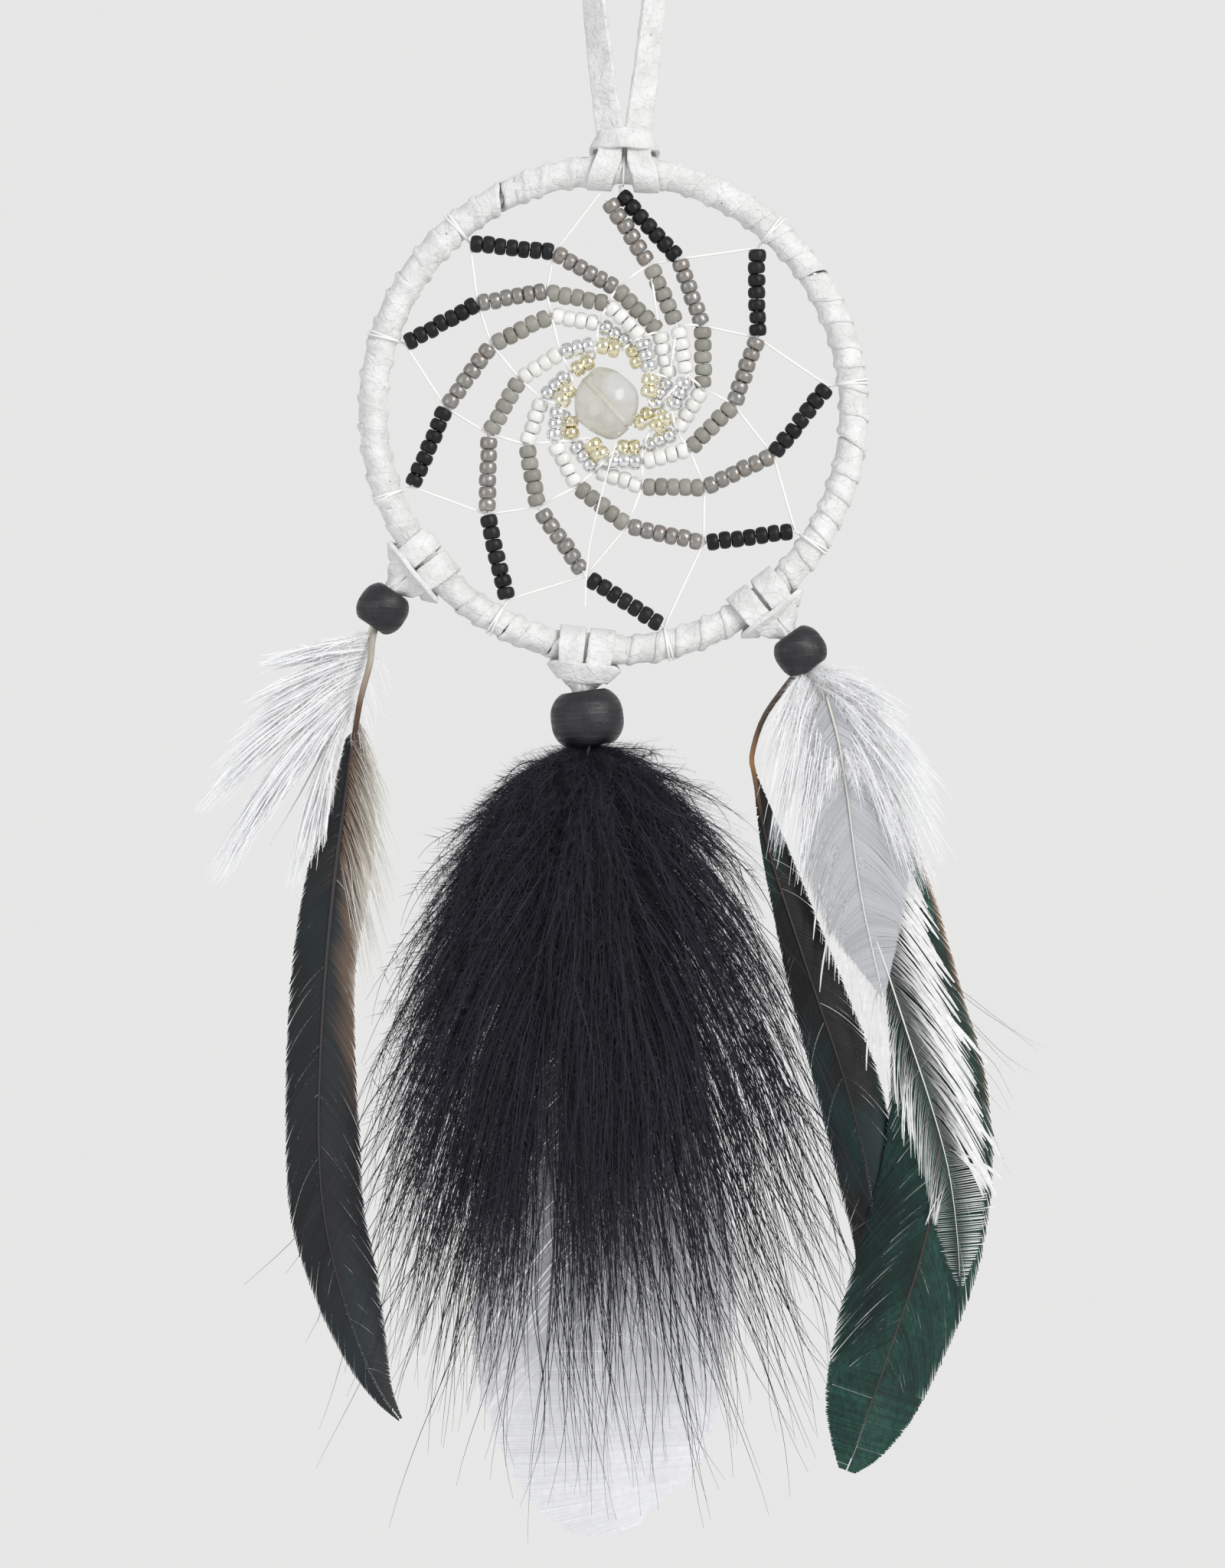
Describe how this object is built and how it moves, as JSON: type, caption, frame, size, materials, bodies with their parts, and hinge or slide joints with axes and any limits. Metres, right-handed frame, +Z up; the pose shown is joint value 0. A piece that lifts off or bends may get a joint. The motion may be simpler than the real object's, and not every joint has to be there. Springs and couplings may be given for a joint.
{
  "type": "dream catcher",
  "caption": "Suede-wrapped hoop with a beaded swirl web round a drilled stone, a hanging loop and three feather droppers on hitches.",
  "frame": {"origin": "hook point in the top of the hanging loop, under its knot", "axes": "+Z up along the hanging loop, -Y out of the hoop's front face, +X to the viewer's right"},
  "size_m": [0.1319, 0.013, 0.3434],
  "materials": {
    "suede": "white suede with a napped surface",
    "wire": "drawn wire",
    "thread": "waxed thread",
    "bead_black": "satin opaque glass",
    "bead_lustre": "metallic lustre on glass",
    "bead_matte": "matte opaque glass",
    "bead_white": "glossy opaque glass",
    "bead_silver": "silver plated glass",
    "bead_gold": "pale gold plated glass",
    "stone": "polished translucent stone",
    "black_wood": "black stained and waxed",
    "quill": "keratin shaft",
    "cock_feather": "iridescent rooster feather",
    "hackle_feather": "white and grey hackle",
    "plume_feather": "blue-black marabou",
    "white_feather": "white flat feather"
  },
  "bodies": {
    "hanging_loop": {"hang_knot": "suede", "hang_lace_left": "suede", "hang_lace_right": "suede"},
    "hang_hitch": {"hang_hitch": "suede"},
    "hoop": {"hoop_wire": "wire", "hoop_wrap": "suede", "web_thread": "thread", "thread_tail": "thread", "black_beads": "bead_black", "lustre_beads": "bead_lustre", "matte_beads": "bead_matte", "white_beads": "bead_white", "silver_beads": "bead_silver", "gold_beads": "bead_gold", "stone_thread": "thread"},
    "stone": {"centre_stone": "stone"},
    "left_hitch": {"left_hitch": "suede"},
    "left_dropper": {"left_wood_bead": "black_wood", "left_lace_ends": "suede", "left_cock_quill": "quill", "left_cock_feather": "cock_feather", "left_hackle_quill": "quill", "left_hackle_feather": "hackle_feather"},
    "centre_hitch": {"centre_hitch": "suede"},
    "centre_dropper": {"centre_wood_bead": "black_wood", "centre_lace_ends": "suede", "plume_left_quill": "quill", "plume_left": "plume_feather", "plume_right_quill": "quill", "plume_right": "plume_feather", "back_feather_quill": "quill", "back_feather": "white_feather"},
    "right_hitch": {"right_hitch": "suede"},
    "right_dropper": {"right_wood_bead": "black_wood", "right_lace_ends": "suede", "right_hackle_quill": "quill", "right_hackle_feather": "hackle_feather", "right_cock_quill": "quill", "right_cock_feather": "cock_feather", "right_dark_quill": "quill", "right_dark_feather": "cock_feather"}
  },
  "joints": [
    {"name": "hang_twist", "type": "hinge", "parent": "hanging_loop", "child": "hang_hitch", "pos_m": [0, 0, -0.0666], "axis": [0, 0, 1], "range_deg": [-45, 45], "stiffness_Nm_per_rad": 0.0004},
    {"name": "hoop_tilt", "type": "hinge", "parent": "hang_hitch", "child": "hoop", "pos_m": [-0.00001, 0, -0.07372], "axis": [0.999, 0, -0.0436], "range_deg": [-25, 25]},
    {"name": "stone_spin", "type": "hinge", "parent": "hoop", "child": "stone", "pos_m": [-0.0033, 0, -0.1155], "axis": [0.682, 0, -0.7314], "continuous": true},
    {"name": "left_roll", "type": "hinge", "parent": "hoop", "child": "left_hitch", "pos_m": [-0.03567, 0, -0.14434], "axis": [-0.6293, 0, 0.7771], "range_deg": [-15, 15]},
    {"name": "left_swing", "type": "hinge", "parent": "left_hitch", "child": "left_dropper", "pos_m": [-0.0406, 0, -0.14834], "axis": [0, 1, 0], "range_deg": [-4, 30], "stiffness_Nm_per_rad": 0.002},
    {"name": "centre_roll", "type": "hinge", "parent": "hoop", "child": "centre_hitch", "pos_m": [-0.00682, 0, -0.16017], "axis": [-0.9936, 0, 0.1132], "range_deg": [-15, 15]},
    {"name": "centre_swing", "type": "hinge", "parent": "centre_hitch", "child": "centre_dropper", "pos_m": [-0.00754, 0, -0.16648], "axis": [0, 1, 0], "range_deg": [-5, 5], "stiffness_Nm_per_rad": 0.002},
    {"name": "right_roll", "type": "hinge", "parent": "hoop", "child": "right_hitch", "pos_m": [0.02485, 0, -0.15124], "axis": [-0.788, 0, -0.6157], "range_deg": [-15, 15]},
    {"name": "right_swing", "type": "hinge", "parent": "right_hitch", "child": "right_dropper", "pos_m": [0.02876, 0, -0.15624], "axis": [0, 1, 0], "range_deg": [-30, 4], "stiffness_Nm_per_rad": 0.002}
  ]
}
